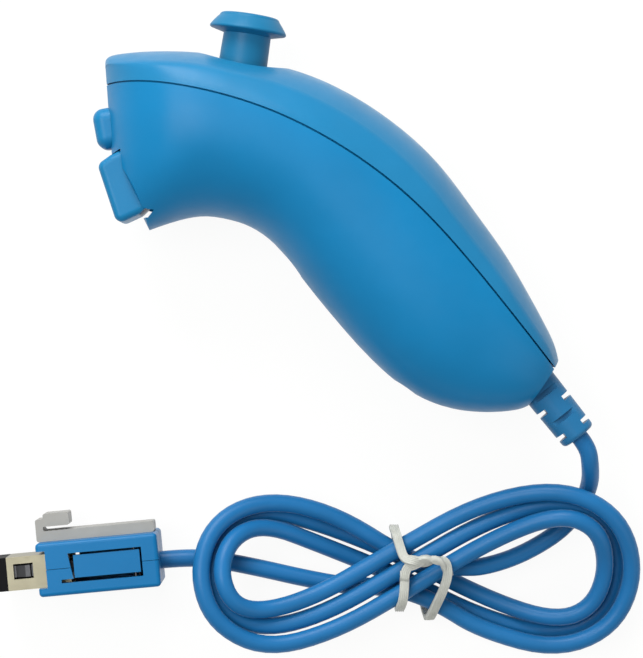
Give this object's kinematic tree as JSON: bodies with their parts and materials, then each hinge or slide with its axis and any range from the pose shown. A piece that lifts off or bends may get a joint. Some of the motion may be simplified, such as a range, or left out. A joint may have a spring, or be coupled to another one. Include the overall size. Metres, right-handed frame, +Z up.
{
  "type": "one-handed motion game controller",
  "caption": "One-handed wired game controller with a thumbstick, a small button and a trigger, its cord tied in a figure-eight hank, and its plug.",
  "frame": {"origin": "on the table, under the middle of the controller as it lies on its side", "axes": "+X along the controller from its front end with the buttons to its tail, +Y towards the thumbstick, +Z up from the table"},
  "size_m": [0.1365, 0.1349, 0.0381],
  "materials": {
    "body_plastic": "satin moulded plastic",
    "upper_plastic": "satin moulded plastic",
    "stick_plastic": "satin moulded plastic",
    "button_plastic": "satin moulded plastic",
    "relief_vinyl": "soft vinyl",
    "cord_vinyl": "smooth soft vinyl",
    "plug_plastic": "satin moulded plastic",
    "clear_plastic": "translucent",
    "tie_plastic": "thin ribbed strip",
    "shroud_steel": "bright plated steel",
    "steel": "plain",
    "black_plastic": "plain",
    "grey_plastic": "plain",
    "white_plastic": "plain",
    "contact_metal": "plated",
    "dome_rubber": "soft",
    "board_laminate": "laminate",
    "wire_insulation": "thin insulation"
  },
  "bodies": {
    "handle": {"lower_shell": "body_plastic", "upper_shell": "upper_plastic", "shell_screws": "steel", "stick_gate_ring": "grey_plastic", "stick_module_frame": "steel", "stick_module_base": "grey_plastic", "stick_spring_cup": "white_plastic", "stick_return_spring": "steel", "position_sensor_long": "black_plastic", "position_sensor_side": "black_plastic", "trigger_pin": "steel", "button_board": "board_laminate", "small_button_dome": "dome_rubber", "trigger_dome": "dome_rubber", "main_circuit_board": "board_laminate", "board_link_pins": "contact_metal", "board_screws": "steel", "motion_sensor_chip": "black_plastic", "controller_chip": "black_plastic", "wire_connector": "white_plastic", "board_small_parts": "grey_plastic", "strain_relief": "relief_vinyl", "inner_cable": "cord_vinyl", "inner_wires": "wire_insulation", "cord_lead": "cord_vinyl", "cord_hank": "cord_vinyl", "cord_plug_lead": "cord_vinyl", "twist_tie": "tie_plastic", "plug_housing_hook_side": "plug_plastic", "plug_housing_far_side": "plug_plastic", "plug_upper_latch_pin": "steel", "plug_lower_latch_pin": "steel", "plug_shroud": "shroud_steel", "plug_insulator": "black_plastic", "plug_contacts": "contact_metal", "plug_strap_hook": "clear_plastic", "plug_cord_end": "cord_vinyl"},
    "yoke": {"stick_yoke": "white_plastic", "stick_cross_pin": "steel"},
    "stick": {"stick_cap": "stick_plastic", "stick_shaft": "grey_plastic"},
    "arc_lever": {"stick_arc_lever": "white_plastic"},
    "small_button": {"small_button": "button_plastic"},
    "trigger": {"trigger": "button_plastic"},
    "upper_latch": {"plug_upper_latch_button": "plug_plastic", "plug_upper_latch_arm": "steel"},
    "lower_latch": {"plug_lower_latch_button": "plug_plastic", "plug_lower_latch_arm": "steel"}
  },
  "joints": [
    {"name": "stick_tilt_sideways", "type": "hinge", "parent": "handle", "child": "yoke", "pos_m": [-0.02247, 0.02429, 0.0191], "axis": [0.989, -0.148, 0], "range_deg": [-16, 16], "stiffness_Nm_per_rad": 0.03},
    {"name": "stick_tilt_lengthways", "type": "hinge", "parent": "yoke", "child": "stick", "pos_m": [-0.02247, 0.02429, 0.0191], "axis": [0, 0, 1], "range_deg": [-16, 16], "stiffness_Nm_per_rad": 0.03},
    {"name": "arc_lever_turn", "type": "hinge", "parent": "handle", "child": "arc_lever", "pos_m": [-0.02247, 0.02429, 0.0191], "axis": [0, 0, 1], "range_deg": [-16, 16]},
    {"name": "small_button_press", "type": "slide", "parent": "handle", "child": "small_button", "axis": [0.9839, 0.179, 0], "range_m": [0, 0.001], "stiffness_N_per_m": 300, "springref_m": -0.001, "deforming": ["small_button_dome"]},
    {"name": "trigger_press", "type": "hinge", "parent": "handle", "child": "trigger", "pos_m": [-0.0424, 0.015, 0.0191], "axis": [0, 0, 1], "range_deg": [0, 6], "stiffness_Nm_per_rad": 0.15, "springref_deg": -3.44, "deforming": ["trigger_dome"]},
    {"name": "upper_latch_press", "type": "hinge", "parent": "handle", "child": "upper_latch", "pos_m": [-0.04353, -0.0692, 0.0174], "axis": [0.0925, -0.9957, 0], "range_deg": [0, 3], "stiffness_Nm_per_rad": 0.4, "springref_deg": -1.72},
    {"name": "lower_latch_press", "type": "hinge", "parent": "handle", "child": "lower_latch", "pos_m": [-0.04353, -0.0692, 0.0026], "axis": [-0.0925, 0.9957, 0], "range_deg": [0, 3], "stiffness_Nm_per_rad": 0.4, "springref_deg": -1.72}
  ],
  "couplings": [
    {"joint": "arc_lever_turn", "follows": "stick_tilt_lengthways", "ratio": 1}
  ]
}
